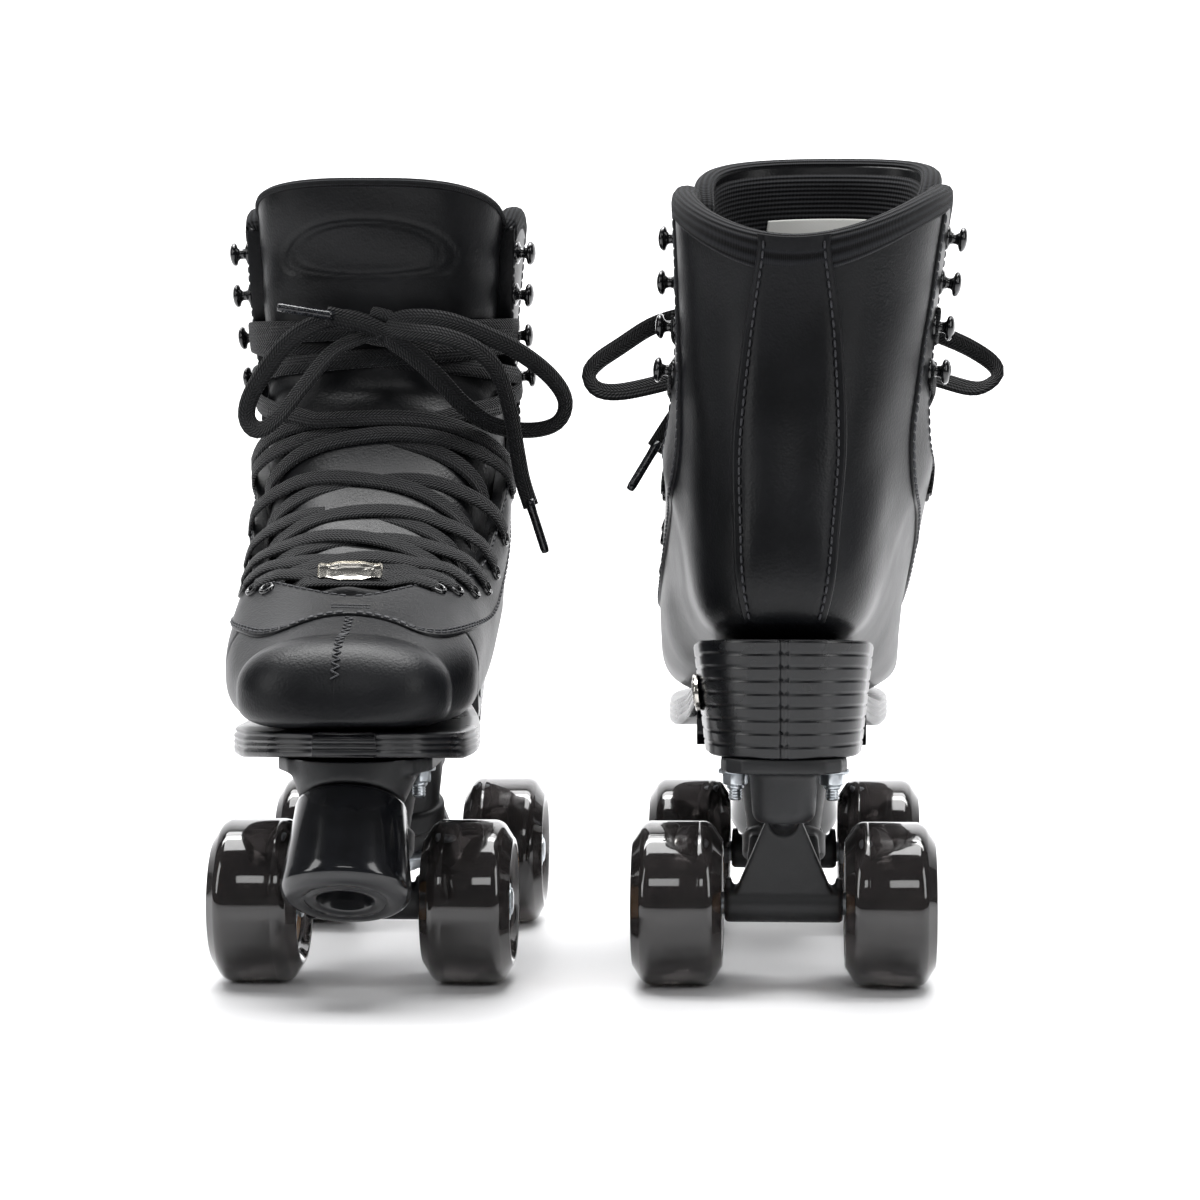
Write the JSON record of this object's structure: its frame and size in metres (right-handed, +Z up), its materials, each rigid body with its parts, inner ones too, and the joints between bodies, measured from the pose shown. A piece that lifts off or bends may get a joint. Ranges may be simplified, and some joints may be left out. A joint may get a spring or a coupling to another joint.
{
  "type": "quad roller skates",
  "caption": "Lace-up high leather boots on sprung quad plates with wide wheels and toe stops, standing side by side, one toe forward and one heel forward.",
  "frame": {"origin": "on the floor, at the middle of the pair's box without the laces", "axes": "+Z up, +Y the way the left skate's toe points, +X from the right skate to the left skate; the right skate's toe points to -Y"},
  "size_m": [0.29, 0.2974, 0.2959],
  "materials": {
    "leather": "smooth black synthetic leather with a fine pebble grain, satin",
    "knit": "black ribbed knit lining and binding, matte",
    "sole": "moulded black sole and stacked heel, satin",
    "nylon": "glass-filled black nylon, fine matte texture",
    "steel": "zinc-plated steel",
    "cushion": "black urethane, satin",
    "stopper": "glossy black urethane",
    "tyre": "smoky see-through grey urethane, glossy",
    "hub": "tan nylon wheel hub",
    "lace": "flat braided black lace, matte",
    "enamel": "glossy black enamelled eyelets and hooks",
    "chrome": "polished chrome badge and lace tag"
  },
  "bodies": {
    "left_skate": {"left_boot_upper": "leather", "left_tongue": "leather", "left_sole_unit": "sole", "left_insole": "knit", "left_lace": "lace", "left_plate": "nylon", "left_front_outer_plate_bolt": "steel", "left_front_inner_plate_bolt": "steel", "left_rear_outer_plate_bolt": "steel", "left_rear_inner_plate_bolt": "steel", "left_toe_stop": "stopper", "left_toe_stop_bolt": "steel", "left_front_kingpin": "steel", "left_rear_kingpin": "steel", "left_front_upper_cushion": "cushion", "left_front_lower_cushion": "cushion", "left_rear_upper_cushion": "cushion", "left_rear_lower_cushion": "cushion"},
    "left_front_truck": {"left_front_hanger": "nylon", "left_front_axle": "steel"},
    "left_front_outer_wheel": {"left_front_outer_tyre": "tyre", "left_front_outer_hub": "hub"},
    "left_front_inner_wheel": {"left_front_inner_tyre": "tyre", "left_front_inner_hub": "hub"},
    "left_rear_truck": {"left_rear_hanger": "nylon", "left_rear_axle": "steel"},
    "left_rear_outer_wheel": {"left_rear_outer_tyre": "tyre", "left_rear_outer_hub": "hub"},
    "left_rear_inner_wheel": {"left_rear_inner_tyre": "tyre", "left_rear_inner_hub": "hub"},
    "right_skate": {"right_boot_upper": "leather", "right_tongue": "leather", "right_sole_unit": "sole", "right_insole": "knit", "right_lace": "lace", "right_plate": "nylon", "right_front_outer_plate_bolt": "steel", "right_front_inner_plate_bolt": "steel", "right_rear_outer_plate_bolt": "steel", "right_rear_inner_plate_bolt": "steel", "right_toe_stop": "stopper", "right_toe_stop_bolt": "steel", "right_front_kingpin": "steel", "right_rear_kingpin": "steel", "right_front_upper_cushion": "cushion", "right_front_lower_cushion": "cushion", "right_rear_upper_cushion": "cushion", "right_rear_lower_cushion": "cushion"},
    "right_front_truck": {"right_front_hanger": "nylon", "right_front_axle": "steel"},
    "right_front_outer_wheel": {"right_front_outer_tyre": "tyre", "right_front_outer_hub": "hub"},
    "right_front_inner_wheel": {"right_front_inner_tyre": "tyre", "right_front_inner_hub": "hub"},
    "right_rear_truck": {"right_rear_hanger": "nylon", "right_rear_axle": "steel"},
    "right_rear_outer_wheel": {"right_rear_outer_tyre": "tyre", "right_rear_outer_hub": "hub"},
    "right_rear_inner_wheel": {"right_rear_inner_tyre": "tyre", "right_rear_inner_hub": "hub"}
  },
  "joints": [
    {"name": "left_front_steer", "type": "hinge", "parent": "left_skate", "child": "left_front_truck", "pos_m": [0.07459, 0.094, 0.062], "axis": [0, 0.9363, 0.3511], "range_deg": [-8, 8], "stiffness_Nm_per_rad": 25, "deforming": ["left_front_upper_cushion", "left_front_lower_cushion"]},
    {"name": "left_front_outer_spin", "type": "hinge", "parent": "left_front_truck", "child": "left_front_outer_wheel", "pos_m": [0.03709, 0.078, 0.029], "axis": [1, 0, 0], "continuous": true},
    {"name": "left_front_inner_spin", "type": "hinge", "parent": "left_front_truck", "child": "left_front_inner_wheel", "pos_m": [0.11209, 0.078, 0.029], "axis": [1, 0, 0], "continuous": true},
    {"name": "left_rear_steer", "type": "hinge", "parent": "left_skate", "child": "left_rear_truck", "pos_m": [0.07459, -0.094, 0.062], "axis": [0, -0.9363, 0.3511], "range_deg": [-8, 8], "stiffness_Nm_per_rad": 25, "deforming": ["left_rear_upper_cushion", "left_rear_lower_cushion"]},
    {"name": "left_rear_outer_spin", "type": "hinge", "parent": "left_rear_truck", "child": "left_rear_outer_wheel", "pos_m": [0.03709, -0.078, 0.029], "axis": [1, 0, 0], "continuous": true},
    {"name": "left_rear_inner_spin", "type": "hinge", "parent": "left_rear_truck", "child": "left_rear_inner_wheel", "pos_m": [0.11209, -0.078, 0.029], "axis": [1, 0, 0], "continuous": true},
    {"name": "right_front_steer", "type": "hinge", "parent": "right_skate", "child": "right_front_truck", "pos_m": [-0.07441, -0.094, 0.062], "axis": [0, -0.9363, 0.3511], "range_deg": [-8, 8], "stiffness_Nm_per_rad": 25, "deforming": ["right_front_upper_cushion", "right_front_lower_cushion"]},
    {"name": "right_front_outer_spin", "type": "hinge", "parent": "right_front_truck", "child": "right_front_outer_wheel", "pos_m": [-0.11191, -0.078, 0.029], "axis": [1, 0, 0], "continuous": true},
    {"name": "right_front_inner_spin", "type": "hinge", "parent": "right_front_truck", "child": "right_front_inner_wheel", "pos_m": [-0.03691, -0.078, 0.029], "axis": [1, 0, 0], "continuous": true},
    {"name": "right_rear_steer", "type": "hinge", "parent": "right_skate", "child": "right_rear_truck", "pos_m": [-0.07441, 0.094, 0.062], "axis": [0, 0.9363, 0.3511], "range_deg": [-8, 8], "stiffness_Nm_per_rad": 25, "deforming": ["right_rear_upper_cushion", "right_rear_lower_cushion"]},
    {"name": "right_rear_outer_spin", "type": "hinge", "parent": "right_rear_truck", "child": "right_rear_outer_wheel", "pos_m": [-0.11191, 0.078, 0.029], "axis": [1, 0, 0], "continuous": true},
    {"name": "right_rear_inner_spin", "type": "hinge", "parent": "right_rear_truck", "child": "right_rear_inner_wheel", "pos_m": [-0.03691, 0.078, 0.029], "axis": [1, 0, 0], "continuous": true},
    {"name": "right_skate_lift", "type": "slide", "parent": "left_skate", "child": "right_skate", "axis": [0, 0, 1], "range_m": [0, 0.32]}
  ]
}
